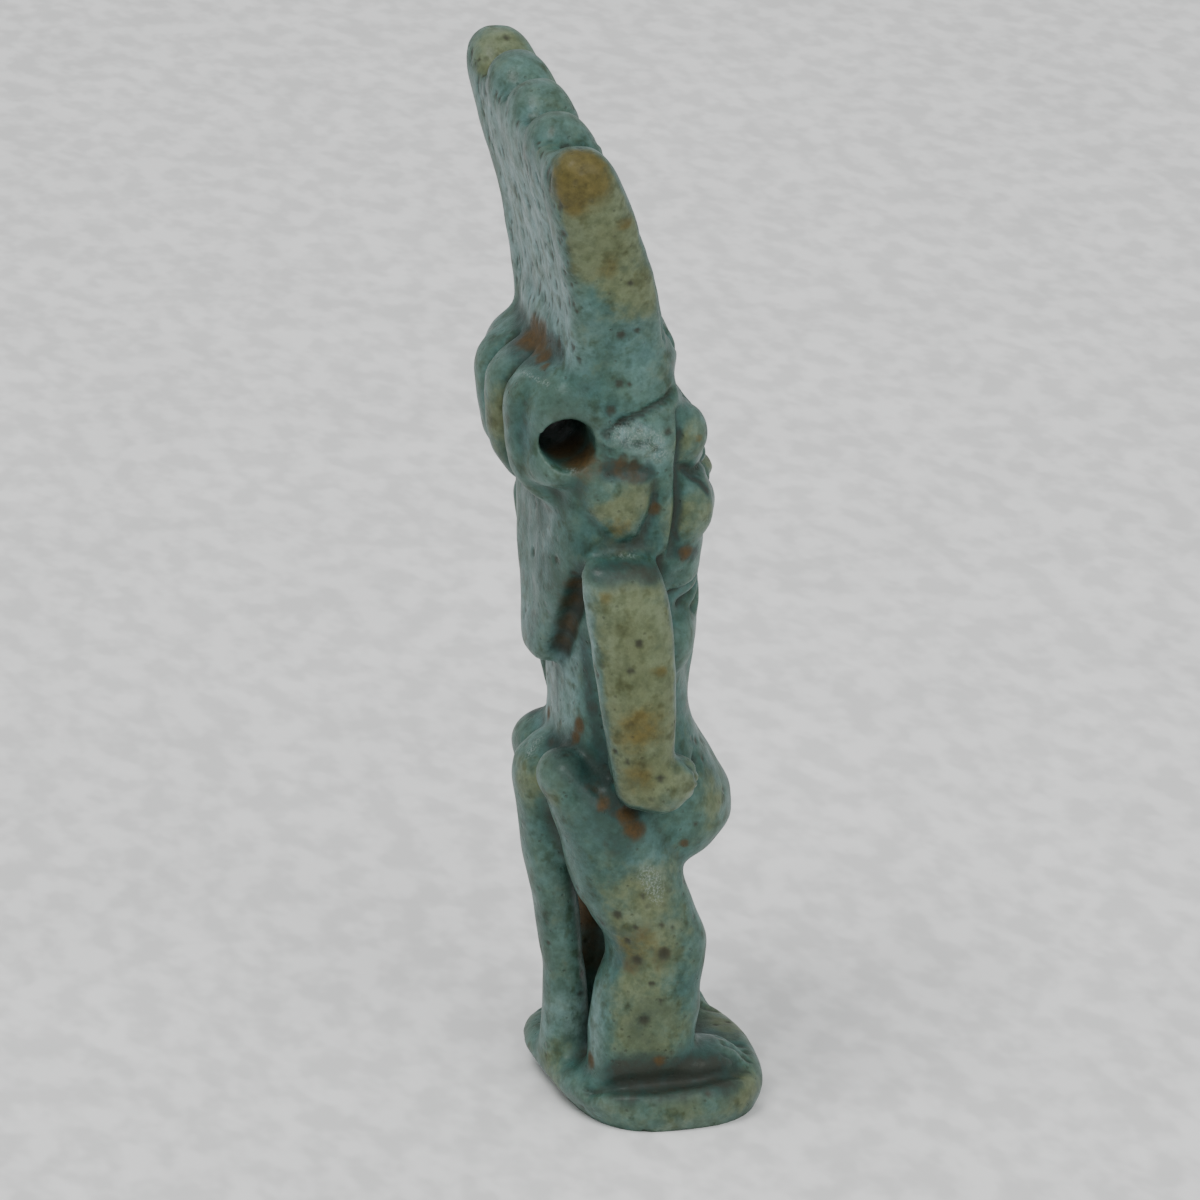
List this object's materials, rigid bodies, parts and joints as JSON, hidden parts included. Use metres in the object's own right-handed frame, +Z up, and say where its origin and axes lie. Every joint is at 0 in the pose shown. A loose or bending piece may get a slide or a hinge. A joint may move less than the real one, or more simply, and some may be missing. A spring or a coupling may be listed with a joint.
{
  "type": "bes figurine",
  "caption": "Small moulded faience figure of a squat plumed god standing on its own low base, with a suspension loop behind the head.",
  "frame": {"origin": "centre of the base's flat underside", "axes": "+Z up, the figure faces -Y, and its left hand is at +X"},
  "size_m": [0.0159, 0.0109, 0.0431],
  "materials": {
    "faience": "worn turquoise glaze, olive where it has rubbed and brown where earth has stained it"
  },
  "bodies": {
    "root": {"bes_figurine": "faience"}
  },
  "joints": []
}
